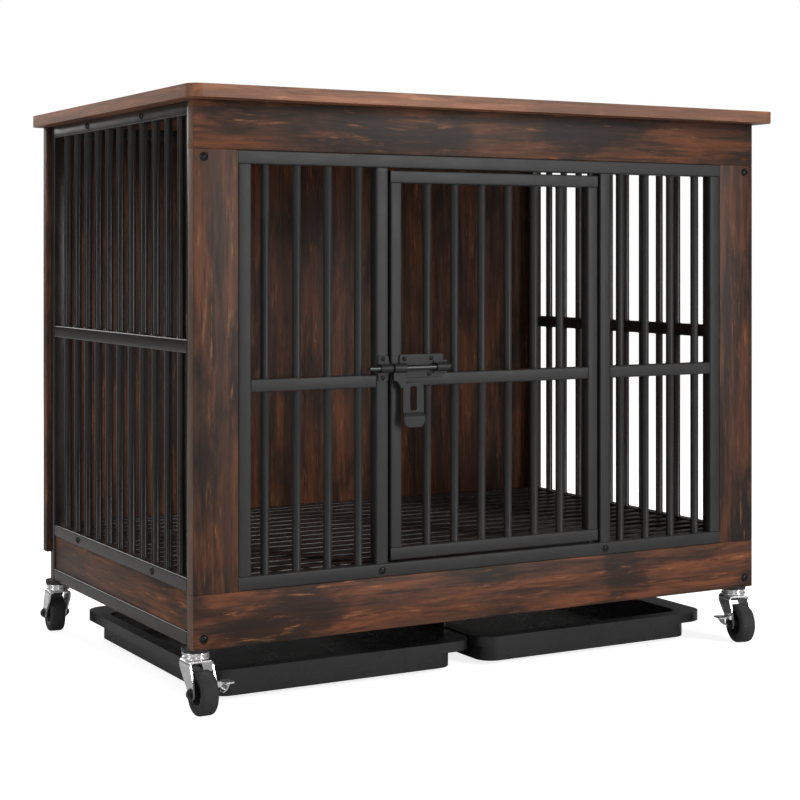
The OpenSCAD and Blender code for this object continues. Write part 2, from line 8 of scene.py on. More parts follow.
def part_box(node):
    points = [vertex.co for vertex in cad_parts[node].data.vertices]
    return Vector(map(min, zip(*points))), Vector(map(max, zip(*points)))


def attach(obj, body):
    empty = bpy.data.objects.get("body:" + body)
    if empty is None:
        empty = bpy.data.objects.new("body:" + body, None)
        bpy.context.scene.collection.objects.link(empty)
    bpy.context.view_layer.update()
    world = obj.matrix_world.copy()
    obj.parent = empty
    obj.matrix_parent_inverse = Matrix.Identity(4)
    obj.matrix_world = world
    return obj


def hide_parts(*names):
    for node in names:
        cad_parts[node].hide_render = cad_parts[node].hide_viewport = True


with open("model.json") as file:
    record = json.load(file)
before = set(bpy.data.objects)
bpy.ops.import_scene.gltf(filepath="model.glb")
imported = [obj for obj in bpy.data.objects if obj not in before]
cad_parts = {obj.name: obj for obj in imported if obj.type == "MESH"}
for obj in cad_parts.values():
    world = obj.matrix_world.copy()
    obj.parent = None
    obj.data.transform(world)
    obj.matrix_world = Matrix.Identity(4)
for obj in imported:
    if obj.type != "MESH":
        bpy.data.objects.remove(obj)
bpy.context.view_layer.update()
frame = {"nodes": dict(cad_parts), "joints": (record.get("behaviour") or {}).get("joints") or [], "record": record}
mm = 0.001


cameraSettings = {"place": (-1.1715, -2.0963, 0.5125), "turn": -29.42, "lens": 80.3,
                  "sensor": 36, "shiftY": -0.1813}


def setCamera(s):
    data = bpy.data.cameras.new("studioCamera")
    data.lens, data.sensor_width, data.shift_y = s["lens"], s["sensor"], s["shiftY"]
    camera = bpy.data.objects.new("studioCamera", data)
    camera.location = s["place"]
    camera.rotation_euler = (radians(90), 0, radians(s["turn"]))
    bpy.context.scene.collection.objects.link(camera)
    bpy.context.scene.camera = camera


lightSettings = {
    "target": (0, 0, 0.35),
    "seen": (1.0, 1.0, 1.0),      # what the camera sees behind the crate
    "around": {"side": 0.07, "above": 0.34, "colour": (1.0, 0.995, 0.985)},
    "softboxes": [
        {"name": "keySoftbox", "place": (1.5, -3.3, 1.3), "size": (0.8, 2.2), "power": 74},
        {"name": "fillSoftbox", "place": (-1.6, -3.6, 1.6), "size": (0.8, 1.4), "power": 12},
        {"name": "leftSoftbox", "place": (-3.2, -0.5, 1.1), "size": (0.7, 1.8), "power": 23},
        {"name": "backSoftbox", "place": (-0.8, 3.6, 1.6), "size": (1.4, 1.6), "power": 26},
        {"name": "topSoftbox", "place": (0.0, 0.2, 3.2), "size": (2.4, 1.6), "power": 28},
    ]}


def aim(thing, target):
    thing.rotation_euler = (Vector(target) - thing.location).to_track_quat("-Z", "Y").to_euler()


def lightStudio(s):
    world = bpy.data.worlds.new("whiteStudio")
    world.use_nodes = True
    nodes, links = world.node_tree.nodes, world.node_tree.links
    around, seen = nodes["Background"], nodes.new("ShaderNodeBackground")
    chosen = nodes.new("ShaderNodeMixShader")
    seen.inputs["Color"].default_value = (*s["seen"], 1)
    around.inputs["Color"].default_value = (*s["around"]["colour"], 1)
    # the room is darker at the sides than above
    facing, height = nodes.new("ShaderNodeSeparateXYZ"), nodes.new("ShaderNodeMapRange")
    links.new(nodes.new("ShaderNodeTexCoord").outputs["Generated"], facing.inputs[0])
    links.new(facing.outputs[2], height.inputs["Value"])
    height.inputs["To Min"].default_value = s["around"]["side"]
    height.inputs["To Max"].default_value = s["around"]["above"]
    links.new(height.outputs[0], around.inputs["Strength"])
    links.new(nodes.new("ShaderNodeLightPath").outputs["Is Camera Ray"], chosen.inputs[0])
    links.new(around.outputs[0], chosen.inputs[1])
    links.new(seen.outputs[0], chosen.inputs[2])
    links.new(chosen.outputs[0], nodes["World Output"].inputs["Surface"])
    bpy.context.scene.world = world
    for box in s["softboxes"]:
        data = bpy.data.lights.new(box["name"], "AREA")
        data.shape, data.size, data.size_y = "RECTANGLE", *box["size"]
        data.energy = box["power"]
        light = bpy.data.objects.new(box["name"], data)
        light.location = box["place"]
        aim(light, s["target"])
        bpy.context.scene.collection.objects.link(light)


setCamera(cameraSettings)
lightStudio(lightSettings)
bpy.context.scene.view_settings.view_transform = "Standard"
print("camera and lights set")


def makeGroup(name, inputs, outputs):
    group = bpy.data.node_groups.new(name, "ShaderNodeTree")
    for label, kind, value in inputs:
        socket = group.interface.new_socket(label, in_out="INPUT", socket_type=kind)
        if value is not None:
            socket.default_value = value
    for label, kind in outputs:
        group.interface.new_socket(label, in_out="OUTPUT", socket_type=kind)
    return group, group.nodes.new("NodeGroupInput"), group.nodes.new("NodeGroupOutput")


# adds nodes to one tree: put fills a socket, the others return the output that is used next
class Wiring:
    def __init__(self, tree):
        self.tree = tree

    def put(self, value, socket):
        if isinstance(value, bpy.types.NodeSocket):
            self.tree.links.new(value, socket)
        else:
            socket.default_value = value

    def math(self, operation, a, b=0.0, clamp=False):
        node = self.tree.nodes.new("ShaderNodeMath")
        node.operation, node.use_clamp = operation, clamp
        self.put(a, node.inputs[0])
        self.put(b, node.inputs[1])
        return node.outputs[0]

    def ramp(self, value, low, high, outLow=0.0, outHigh=1.0):
        node = self.tree.nodes.new("ShaderNodeMapRange")
        node.interpolation_type = "SMOOTHSTEP"
        for socket, v in zip(node.inputs, (value, low, high, outLow, outHigh)):
            self.put(v, socket)
        return node.outputs[0]

    def stretch(self, vector, scale, shift=(0, 0, 0)):
        node = self.tree.nodes.new("ShaderNodeMapping")
        self.put(vector, node.inputs["Vector"])
        node.inputs["Scale"].default_value = scale
        node.inputs["Location"].default_value = shift
        return node.outputs[0]

    def noise(self, vector, scale=1.0, detail=4.0, rough=0.55, distortion=0.0):
        node = self.tree.nodes.new("ShaderNodeTexNoise")
        self.put(vector, node.inputs["Vector"])
        for label, v in (("Scale", scale), ("Detail", detail), ("Roughness", rough),
                         ("Distortion", distortion)):
            self.put(v, node.inputs[label])
        return node.outputs["Fac"]

    def mix(self, share, a, b, blend="MIX"):
        node = self.tree.nodes.new("ShaderNodeMix")
        node.data_type, node.blend_type = "RGBA", blend
        self.put(share, node.inputs["Factor"])
        self.put(a, node.inputs[6])
        self.put(b, node.inputs[7])
        return node.outputs[2]


def colour(r, g, b):
    # linear colour from the usual 0 to 255 values
    return tuple((v / 255 / 12.92) if v < 10.3 else ((v / 255 + 0.055) / 1.055) ** 2.4
                 for v in (r, g, b)) + (1.0,)


grainSettings = {
    "brown": colour(76, 52, 40), "orange": colour(120, 74, 49), "smoky": colour(33, 28, 26),
    "pale": colour(176, 122, 80), "line": colour(26, 20, 17),
    "seedShift": (1.37, 0.61, 1.0),
    "sway": 0.018,
    # stretch, shift, detail and roughness of each layer of noise; a higher stretch is finer
    "layers": {"sway": ((3, 7, 7), (0, 0, 0), 2, 0.55), "streaks": ((5, 60, 60), (0, 0, 0), 8, 0.66),
               "bands": ((6, 120, 120), (3, 1, 7), 8, 0.68), "smoke": ((7, 15, 15), (1, 5, 2), 4, 0.55),
               "brushed": ((22, 260, 260), (2, 8, 3), 6, 0.7), "fibres": ((40, 900, 900), (0, 0, 0), 3, 0.6),
               "flecks": ((26, 210, 210), (9, 2, 4), 5, 0.6)},
    # where each effect starts and ends in its noise, and its share at both
    "orangeRange": (0.40, 0.64), "bandRange": (0.52, 0.38), "bandShare": 0.7, "ragged": 0.28,
    "smokeRange": (0.46, 0.62), "fleckRange": (0.57, 0.69), "fleckOnStreak": (0.46, 0.62, 0.08, 0.6),
    "lineRange": (0.36, 0.27, 0.0, 0.6), "fibreRange": (0.3, 0.7, 0.82, 1.14),
    "rough": 0.4, "roughSpread": 0.16, "fibreHeight": 0.7, "lineDepth": 0.9}


def buildWoodGrain(s):
    # Place has the grain along X, in metres
    group, given, out = makeGroup(
        "woodGrain",
        [("Place", "NodeSocketVector", None), ("Seed", "NodeSocketFloat", 0.0),
         ("Smoke", "NodeSocketFloat", 0.6), ("Brown", "NodeSocketColor", s["brown"]),
         ("Orange", "NodeSocketColor", s["orange"]), ("Smoky", "NodeSocketColor", s["smoky"]),
         ("Pale", "NodeSocketColor", s["pale"])],
        [("Color", "NodeSocketColor"), ("Roughness", "NodeSocketFloat"),
         ("Height", "NodeSocketFloat")])
    w = Wiring(group)

    def layer(name, vector):
        stretch, shift, detail, rough = s["layers"][name]
        return w.noise(w.stretch(vector, stretch, shift), 1, detail, rough)

    seedShift = group.nodes.new("ShaderNodeCombineXYZ")
    for i, times in enumerate(s["seedShift"]):
        w.put(w.math("MULTIPLY", given.outputs["Seed"], times), seedShift.inputs[i])
    shifted = group.nodes.new("ShaderNodeVectorMath")
    w.put(given.outputs["Place"], shifted.inputs[0])
    w.put(seedShift.outputs[0], shifted.inputs[1])
    place = shifted.outputs[0]
    # the figure wanders a few millimetres across the board
    sway = w.math("MULTIPLY", w.math("SUBTRACT", layer("sway", place), 0.5), s["sway"])
    swayed = group.nodes.new("ShaderNodeCombineXYZ")
    apart = group.nodes.new("ShaderNodeSeparateXYZ")
    w.put(place, apart.inputs[0])
    w.put(apart.outputs[0], swayed.inputs[0])
    w.put(w.math("ADD", apart.outputs[1], sway), swayed.inputs[1])
    w.put(w.math("ADD", apart.outputs[2], sway), swayed.inputs[2])
    figure = swayed.outputs[0]
    streaks, bands, smoke = layer("streaks", figure), layer("bands", figure), layer("smoke", place)
    brushed, fibres, flecks = layer("brushed", figure), layer("fibres", place), layer("flecks", figure)
    base = w.mix(w.ramp(streaks, *s["orangeRange"]), given.outputs["Brown"], given.outputs["Orange"])
    bandShare = w.math("MULTIPLY", w.ramp(bands, *s["bandRange"]), s["bandShare"])
    base = w.mix(bandShare, base, given.outputs["Smoky"])
    ragged = w.math("ADD", smoke, w.math("MULTIPLY", w.math("SUBTRACT", brushed, 0.5), s["ragged"]))
    smokeShare = w.math("MULTIPLY", w.ramp(ragged, *s["smokeRange"]), given.outputs["Smoke"])
    base = w.mix(smokeShare, base, given.outputs["Smoky"])
    paleShare = w.math("MULTIPLY", w.ramp(flecks, *s["fleckRange"]), w.ramp(streaks, *s["fleckOnStreak"]))
    base = w.mix(paleShare, base, given.outputs["Pale"])
    lineShare = w.ramp(brushed, *s["lineRange"])
    base = w.mix(lineShare, base, s["line"])
    shade = group.nodes.new("ShaderNodeHueSaturation")
    w.put(base, shade.inputs["Color"])
    w.put(w.ramp(fibres, *s["fibreRange"]), shade.inputs["Value"])
    w.put(shade.outputs[0], out.inputs["Color"])
    rough = w.math("ADD", w.math("MULTIPLY", fibres, s["roughSpread"]), s["rough"])
    w.put(rough, out.inputs["Roughness"])
    raised, cut = w.math("MULTIPLY", fibres, s["fibreHeight"]), w.math("MULTIPLY", lineShare, s["lineDepth"])
    w.put(w.math("SUBTRACT", raised, cut), out.inputs["Height"])
    return group


def buildCoatTexture():
    # fine orange peel of powder coat and moulded plastic, and a mottle for the gloss
    group, given, out = makeGroup(
        "coatTexture",
        [("Grain", "NodeSocketFloat", 1500.0), ("Mottle", "NodeSocketFloat", 30.0)],
        [("Height", "NodeSocketFloat"), ("Patches", "NodeSocketFloat")])
    w = Wiring(group)
    place = group.nodes.new("ShaderNodeTexCoord").outputs["Object"]
    w.put(w.noise(place, given.outputs["Grain"], 2, 0.5), out.inputs["Height"])
    w.put(w.noise(place, given.outputs["Mottle"], 4, 0.6), out.inputs["Patches"])
    return group


dustSettings = {"cloud": 55, "cloudRange": (0.35, 0.75), "upRange": (0.6, 1.0)}


def buildDust(s):
    # dust that has settled on faces that look up
    group, given, out = makeGroup(
        "settledDust", [("Amount", "NodeSocketFloat", 0.3)], [("Mask", "NodeSocketFloat")])
    w = Wiring(group)
    facing = group.nodes.new("ShaderNodeSeparateXYZ")
    w.put(group.nodes.new("ShaderNodeNewGeometry").outputs["Normal"], facing.inputs[0])
    place = group.nodes.new("ShaderNodeTexCoord").outputs["Object"]
    cloud = w.ramp(w.noise(place, s["cloud"], 6, 0.7), *s["cloudRange"])
    up = w.ramp(facing.outputs[2], *s["upRange"])
    w.put(w.math("MULTIPLY", w.math("MULTIPLY", up, cloud), given.outputs["Amount"]), out.inputs["Mask"])
    return group


# each direction is a turn about the axis and a shift of the pattern
hairlineSettings = {"directions": ((0.6, 3), (-1.1, 8)), "axis": (0.5, 0.6, 0.62),
                    "stretch": (30, 900, 900), "range": (0.72, 0.78)}


def buildHairlines(s):
    # faint handling scratches in two directions
    group, given, out = makeGroup(
        "hairlines", [("Amount", "NodeSocketFloat", 0.3)], [("Mask", "NodeSocketFloat")])
    w = Wiring(group)
    place = group.nodes.new("ShaderNodeTexCoord").outputs["Object"]
    marks = []
    for turn, shift in s["directions"]:
        turned = group.nodes.new("ShaderNodeVectorRotate")
        turned.rotation_type = "AXIS_ANGLE"
        turned.inputs["Axis"].default_value = s["axis"]
        turned.inputs["Angle"].default_value = turn
        w.put(place, turned.inputs["Vector"])
        lines = w.noise(w.stretch(turned.outputs[0], s["stretch"], (shift, 0, 0)), 1, 1, 0.4)
        marks.append(w.ramp(lines, *s["range"]))
    w.put(w.math("MULTIPLY", w.math("MAXIMUM", *marks), given.outputs["Amount"]), out.inputs["Mask"])
    return group


sharedGroups = {"woodGrain": buildWoodGrain(grainSettings), "coatTexture": buildCoatTexture(),
                "dust": buildDust(dustSettings), "hairlines": buildHairlines(hairlineSettings)}
print("shared effects built")


def startMaterial(name):
    material = bpy.data.materials.new(name)
    material.use_nodes = True
    tree = material.node_tree
    return material, tree, tree.nodes["Principled BSDF"], Wiring(tree)


def placeGroup(tree, key, **values):
    node = tree.nodes.new("ShaderNodeGroup")
    node.node_tree = sharedGroups[key]
    for label, v in values.items():
        node.inputs[label].default_value = v
    return node


def addBump(tree, wiring, height, shader, strength, distance):
    bump = tree.nodes.new("ShaderNodeBump")
    bump.inputs["Strength"].default_value = strength
    bump.inputs["Distance"].default_value = distance
    wiring.put(height, bump.inputs["Height"])
    wiring.put(bump.outputs["Normal"], shader.inputs["Normal"])


# each board's factor multiplies the figure's colour, and carries the board's own tone together with painted shade
# and light; the pale edge shows on the faces that look left and right
boardSettings = {
    "headerVeneer": {"grain": "xyz", "seed": 1.0, "smoke": 0.85, "paleEdge": 0.3, "tint": (0.81, 0.72, 0.63)},
    "bottomVeneer": {"grain": "xyz", "seed": 1.0, "smoke": 0.85, "paleEdge": 0.3, "tint": (1.06, 0.92, 0.84)},
    "leftPostVeneer": {"grain": "zxy", "seed": 2.3, "smoke": 0.85, "paleEdge": 0.3,
                       "tint": (0.75, 0.73, 0.71)},
    "rightPostVeneer": {"grain": "zxy", "seed": 2.3, "smoke": 0.9, "paleEdge": 0.3,
                        "tint": (0.56, 0.53, 0.52)},
    "backVeneer": {"grain": "zxy", "seed": 5.1, "smoke": 0.7, "paleEdge": 0.0, "tint": (1.04, 1.0, 0.97)},
    "kickVeneer": {"grain": "yxz", "seed": 7.7, "smoke": 0.6, "paleEdge": 0.0, "tint": (1.12, 1.06, 0.98)},
}
veneerSettings = {"edge": colour(150, 126, 110), "dust": colour(150, 140, 130), "dustAmount": 0.12,
                  "specular": 0.22, "bump": 0.35, "bumpDepth": 0.4 * mm}


def boardMaterial(name, s, shared):
    material, tree, shader, w = startMaterial(name)
    apart = tree.nodes.new("ShaderNodeSeparateXYZ")
    w.put(tree.nodes.new("ShaderNodeTexCoord").outputs["Object"], apart.inputs[0])
    ordered = tree.nodes.new("ShaderNodeCombineXYZ")
    for i, axis in enumerate(s["grain"]):
        w.put(apart.outputs["xyz".index(axis)], ordered.inputs[i])
    grain = placeGroup(tree, "woodGrain", Seed=s["seed"], Smoke=s["smoke"])
    w.put(ordered.outputs[0], grain.inputs["Place"])
    facing = tree.nodes.new("ShaderNodeSeparateXYZ")
    w.put(tree.nodes.new("ShaderNodeNewGeometry").outputs["Normal"], facing.inputs[0])
    sideways = w.ramp(w.math("ABSOLUTE", facing.outputs[0]), 0.5, 0.9)
    lighter = w.mix(s["paleEdge"], grain.outputs["Color"], shared["edge"])
    boardColour = w.mix(sideways, grain.outputs["Color"], lighter)
    # painted shade and light: each board's colour is scaled by its own factor, so copies of one veneer come out
    # darker or lighter
    boardColour = w.mix(1.0, boardColour, (*s["tint"], 1), "MULTIPLY")
    dust = placeGroup(tree, "dust", Amount=shared["dustAmount"])
    w.put(w.mix(dust.outputs["Mask"], boardColour, shared["dust"]), shader.inputs["Base Color"])
    w.put(grain.outputs["Roughness"], shader.inputs["Roughness"])
    shader.inputs["Specular IOR Level"].default_value = shared["specular"]
    addBump(tree, w, grain.outputs["Height"], shader, shared["bump"], shared["bumpDepth"])
    return material


topSettings = {"seed": 11.0, "smoke": 0.4, "brown": colour(110, 72, 53), "orange": colour(168, 108, 74),
               "smoky": colour(64, 46, 38), "pale": colour(208, 154, 112), "edge": colour(166, 108, 72),
               "edgeShare": 0.2, "specular": 0.35, "bump": 0.3, "bumpDepth": 0.4 * mm}


def topMaterial(s):
    material, tree, shader, w = startMaterial("topBoard")
    grain = placeGroup(tree, "woodGrain", Seed=s["seed"], Smoke=s["smoke"],
                       Brown=s["brown"], Orange=s["orange"], Smoky=s["smoky"], Pale=s["pale"])
    facing = tree.nodes.new("ShaderNodeSeparateXYZ")
    w.put(tree.nodes.new("ShaderNodeNewGeometry").outputs["Normal"], facing.inputs[0])
    # the banding's figure runs along every edge, so it turns on the two short ones
    place, turned = tree.nodes.new("ShaderNodeSeparateXYZ"), tree.nodes.new("ShaderNodeCombineXYZ")
    along = tree.nodes.new("ShaderNodeTexCoord").outputs["Object"]
    w.put(along, place.inputs[0])
    for i, axis in enumerate((1, 0, 2)):
        w.put(place.outputs[axis], turned.inputs[i])
    sideways = w.ramp(w.math("ABSOLUTE", facing.outputs[0]), 0.66, 0.74)
    w.put(w.mix(sideways, along, turned.outputs[0]), grain.inputs["Place"])
    edge = w.ramp(w.math("ABSOLUTE", facing.outputs[2]), 0.9, 0.5)
    banded = w.mix(s["edgeShare"], grain.outputs["Color"], s["edge"])
    w.put(w.mix(edge, grain.outputs["Color"], banded), shader.inputs["Base Color"])
    w.put(grain.outputs["Roughness"], shader.inputs["Roughness"])
    shader.inputs["Specular IOR Level"].default_value = s["specular"]
    addBump(tree, w, grain.outputs["Height"], shader, s["bump"], s["bumpDepth"])
    return material


coatSettings = {
    "frontPowderCoat": {"low": colour(40, 39, 39), "high": colour(46, 45, 45), "rough": (0.4, 0.48),
                        "specular": 0.24, "grain": 1500, "bump": 0.12, "dust": 0.12, "marks": 0.12},
    "sidePowderCoat": {"low": colour(34, 30, 28), "high": colour(41, 36, 33), "rough": (0.2, 0.27),
                       "specular": 0.27, "grain": 1500, "bump": 0.12, "dust": 0.12, "marks": 0.12},
    "blackenedSteel": {"low": colour(22, 22, 23), "high": colour(28, 28, 29), "rough": (0.26, 0.34),
                       "specular": 0.5, "grain": 1900, "bump": 0.08, "dust": 0.04, "marks": 0.1},
    "stampedSteel": {"low": colour(32, 32, 33), "high": colour(38, 38, 39), "rough": (0.4, 0.46),
                     "specular": 0.24, "grain": 1700, "bump": 0.1, "dust": 0.06, "marks": 0.06},
    "boltBlack": {"low": colour(11, 11, 12), "high": colour(16, 16, 17), "rough": (0.32, 0.4),
                  "specular": 0.35, "grain": 1900, "bump": 0.08, "dust": 0.02, "marks": 0.08},
    "trayPlastic": {"low": colour(32, 32, 33), "high": colour(35, 35, 36), "rough": (0.26, 0.3),
                    "specular": 0.4, "grain": 2600, "bump": 0.1, "dust": 0.02, "marks": 0.04},
    "hubPlastic": {"low": colour(14, 14, 15), "high": colour(22, 22, 23), "rough": (0.4, 0.55),
                   "specular": 0.4, "grain": 2400, "bump": 0.15, "dust": 0.08, "marks": 0.2},
    "tyreRubber": {"low": colour(48, 48, 49), "high": colour(57, 57, 58), "rough": (0.6, 0.78),
                   "specular": 0.25, "grain": 3000, "bump": 0.25, "dust": 0.25, "marks": 0.4},
}
wearSettings = {"mottle": 26.0, "patchRange": (0.3, 0.7), "mark": colour(110, 108, 106),
                "dust": colour(150, 146, 140), "dustRough": 0.3, "bumpDepth": 0.2 * mm}


def coatMaterial(name, s, wear):
    material, tree, shader, w = startMaterial(name)
    texture = placeGroup(tree, "coatTexture", Grain=s["grain"], Mottle=wear["mottle"])
    dust = placeGroup(tree, "dust", Amount=s["dust"])
    hairlines = placeGroup(tree, "hairlines", Amount=s["marks"])
    patches = w.ramp(texture.outputs["Patches"], *wear["patchRange"])
    base = w.mix(patches, s["low"], s["high"])
    base = w.mix(hairlines.outputs["Mask"], base, wear["mark"])
    w.put(w.mix(dust.outputs["Mask"], base, wear["dust"]), shader.inputs["Base Color"])
    rough = w.ramp(texture.outputs["Patches"], *wear["patchRange"], *s["rough"])
    rougher = w.math("MULTIPLY", dust.outputs["Mask"], wear["dustRough"])
    w.put(w.math("ADD", rough, rougher), shader.inputs["Roughness"])
    shader.inputs["Specular IOR Level"].default_value = s["specular"]
    addBump(tree, w, texture.outputs["Height"], shader, s["bump"], wear["bumpDepth"])
    return material


# the plating's colour is near white and only partly metallic, so its diffuse part is a painted reflection that
# keeps the plating bright from every side
chromeSettings = {"bright": colour(246, 245, 246), "dull": colour(226, 225, 228), "metallic": 0.78,
                  "grain": 700.0, "mottle": 90.0, "marks": 0.5, "markRough": 0.3,
                  "dullRange": (0.35, 0.7), "roughRange": (0.3, 0.75, 0.14, 0.24),
                  "bump": 0.03, "bumpDepth": 0.2 * mm}


def chromeMaterial(s):
    material, tree, shader, w = startMaterial("platingWithPaintedSheen")
    texture = placeGroup(tree, "coatTexture", Grain=s["grain"], Mottle=s["mottle"])
    hairlines = placeGroup(tree, "hairlines", Amount=s["marks"])
    patches = w.ramp(texture.outputs["Patches"], *s["dullRange"])
    # painted reflection: the near-white base colour stands in for the bright reflections of the plating, with a
    # duller mottle
    w.put(w.mix(patches, s["bright"], s["dull"]), shader.inputs["Base Color"])
    shader.inputs["Metallic"].default_value = s["metallic"]
    rough = w.ramp(texture.outputs["Patches"], *s["roughRange"])
    rougher = w.math("MULTIPLY", hairlines.outputs["Mask"], s["markRough"])
    w.put(w.math("ADD", rough, rougher), shader.inputs["Roughness"])
    addBump(tree, w, texture.outputs["Height"], shader, s["bump"], s["bumpDepth"])
    return material


materials = {name: boardMaterial(name, s, veneerSettings) for name, s in boardSettings.items()}
materials["topBoard"] = topMaterial(topSettings)
materials.update({name: coatMaterial(name, s, wearSettings) for name, s in coatSettings.items()})
materials["platingWithPaintedSheen"] = chromeMaterial(chromeSettings)
print("materials built", len(materials))


slotOf = {part["node"]: part["material_slot"] for part in frame["record"]["subparts"]}
bodyOf = {node: body for body, nodes in frame["record"]["behaviour"]["bodies"].items() for node in nodes}
finishOf = {"front_steel": "frontPowderCoat", "side_steel": "sidePowderCoat",
            "black_hardware": "blackenedSteel", "tray_plastic": "trayPlastic",
            "chrome": "platingWithPaintedSheen", "tyre_rubber": "tyreRubber", "hub_plastic": "hubPlastic",
            "top_wood": "topBoard"}


def finishNode(node, finish=None):
    # gives a CAD node its material
    thing = frame["nodes"][node]
    material = materials[finish or finishOf[slotOf[node]]]
    if not thing.material_slots:
        thing.data.materials.append(material)
    for place in thing.material_slots:
        place.material = material
    return thing


def easeEdges(thing, width, segments=3, angle=32):
    # welded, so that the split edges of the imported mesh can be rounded
    weld = thing.modifiers.new("joinFaces", "WELD")
    weld.merge_threshold = 1e-6
    bevel = thing.modifiers.new("easedEdges", "BEVEL")
    bevel.width, bevel.segments = width, segments
    bevel.limit_method, bevel.angle_limit = "ANGLE", radians(angle)
    bevel.miter_outer = "MITER_ARC"
    normals = thing.modifiers.new("evenNormals", "WEIGHTED_NORMAL")
    normals.keep_sharp = True


def looseBoxes(node):
    # lowest and highest corner of each separate solid in a CAD node
    bm = bmesh.new()
    bm.from_mesh(frame["nodes"][node].data)
    bmesh.ops.remove_doubles(bm, verts=bm.verts, dist=1e-6)
    boxes, seen = [], set()
    for start in bm.verts:
        if start in seen:
            continue
        island, waiting = [], [start]
        seen.add(start)
        while waiting:
            v = waiting.pop()
            island.append(v.co.copy())
            for edge in v.link_edges:
                other = edge.other_vert(v)
                if other not in seen:
                    seen.add(other)
                    waiting.append(other)
        boxes.append((Vector([min(c[i] for c in island) for i in range(3)]),
                      Vector([max(c[i] for c in island) for i in range(3)])))
    bm.free()
    return sorted(boxes, key=lambda b: tuple(round(v, 5) for v in (*b[0], *b[1])))


def camel(node):
    first, *rest = node.split("_")
    return first + "".join(word.capitalize() for word in rest)


def makePiece(name, bm, finish, body, slot, *replaced, sharp=35):
    bmesh.ops.recalc_face_normals(bm, faces=bm.faces)
    mesh = bpy.data.meshes.new(name)
    bm.to_mesh(mesh)
    bm.free()
    mesh.shade_smooth()
    mesh.set_sharp_from_angle(angle=radians(sharp))
    mesh.materials.append(materials[finish])
    piece = bpy.data.objects.new(name, mesh)
    bpy.context.scene.collection.objects.link(piece)
    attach(piece, body)
    if replaced:
        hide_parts(*replaced)
    return piece


def standIn(name, bm, node, sharp=35, finish=None):
    # a detailed piece in a CAD node's place, with that node's body, and the finish of its slot if none is given
    finish = finish or finishOf[slotOf[node]]
    return makePiece(name, bm, finish, bodyOf[node], slotOf[node], node, sharp=sharp)


def roundedLoop(width, height, radius, perCorner=5):
    # points round a rounded rectangle that is centred on zero
    points = []
    for k, (sx, sy) in enumerate(((1, 1), (-1, 1), (-1, -1), (1, -1))):
        cx, cy = sx * (width / 2 - radius), sy * (height / 2 - radius)
        for i in range(perCorner):
            a = (k + i / (perCorner - 1)) * pi / 2
            points.append((cx + radius * cos(a), cy + radius * sin(a)))
    return points


def bridgeLoops(bm, loops, closed=False):
    # quads between rings of vertices that have the same count
    pairs = list(zip(loops, loops[1:])) + ([(loops[-1], loops[0])] if closed else [])
    for a, b in pairs:
        for i in range(len(a)):
            j = (i + 1) % len(a)
            bm.faces.new((a[i], a[j], b[j], b[i]))


def addTube(bm, low, high, radius, wall, chamfer=0.25 * mm):
    # square tube along its longest side: eased corners, hollow, with softened ends
    size, centre = high - low, (low + high) / 2
    axis = max(range(3), key=lambda i: size[i])
    u, v = [i for i in range(3) if i != axis]

    def ring(shrink, r, along):
        loop = []
        for a, b in roundedLoop(size[u] - 2 * shrink, size[v] - 2 * shrink, r):
            point = Vector((0, 0, 0))
            point[u], point[v], point[axis] = centre[u] + a, centre[v] + b, along
            loop.append(bm.verts.new(point))
        return loop

    inner = max(radius - wall, 0.3 * mm)
    ends = (low[axis], high[axis])
    rings = [ring(0, radius, ends[0] + chamfer), ring(0, radius, ends[1] - chamfer),
             ring(chamfer, radius - chamfer, ends[1]), ring(wall, inner, ends[1]),
             ring(wall, inner, ends[0]), ring(chamfer, radius - chamfer, ends[0])]
    bridgeLoops(bm, rings, closed=True)


def addLathe(bm, profile, matrix=Matrix(), segments=32):
    # turns (radius, height) points about Z; a radius of zero closes the end
    rings = []
    for r, h in profile:
        if r < 1e-7:
            rings.append([bm.verts.new(matrix @ Vector((0, 0, h)))])
            continue
        ring = []
        for i in range(segments):
            a = 2 * pi * i / segments
            ring.append(bm.verts.new(matrix @ Vector((r * cos(a), r * sin(a), h))))
        rings.append(ring)
    for a, b in zip(rings, rings[1:]):
        for i in range(segments):
            j = (i + 1) % segments
            if len(a) == 1 and len(b) > 1:
                bm.faces.new((a[0], b[j], b[i]))
            elif len(b) == 1 and len(a) > 1:
                bm.faces.new((a[i], a[j], b[0]))
            elif len(a) > 1:
                bm.faces.new((a[i], a[j], b[j], b[i]))


def addSheet(bm, outline, thickness, matrix=Matrix(), ease=0.3 * mm):
    # flat plate from a closed outline in XY, with eased edges, from Z 0 up to its thickness
    count = len(outline)
    centre = Vector((sum(p[0] for p in outline) / count, sum(p[1] for p in outline) / count))

    def ring(inset, h):
        loop = []
        for i, p in enumerate(outline):
            before, after = Vector(outline[i - 1]), Vector(outline[(i + 1) % count])
            along = (after - before).normalized()
            inward = Vector((-along.y, along.x))
            if inward.dot(centre - Vector(p)) < 0:
                inward.negate()
            place = Vector(p) + inward * inset
            loop.append(bm.verts.new(matrix @ Vector((place.x, place.y, h))))
        return loop

    rings = [ring(ease, 0), ring(0, ease), ring(0, thickness - ease), ring(ease, thickness)]
    bridgeLoops(bm, rings)
    bm.faces.new(list(reversed(rings[0])))
    bm.faces.new(rings[-1])


print("mesh helpers ready")


boardPieces = {"finish": {"front_header_board": "headerVeneer", "front_bottom_board": "bottomVeneer",
                          "front_left_post": "leftPostVeneer", "front_right_post": "rightPostVeneer",
                          "back_panel": "backVeneer", "left_kick_board": "kickVeneer",
                          "right_kick_board": "kickVeneer"},
               "edge": 0.7 * mm, "topEdge": 1.2 * mm, "segments": 3}


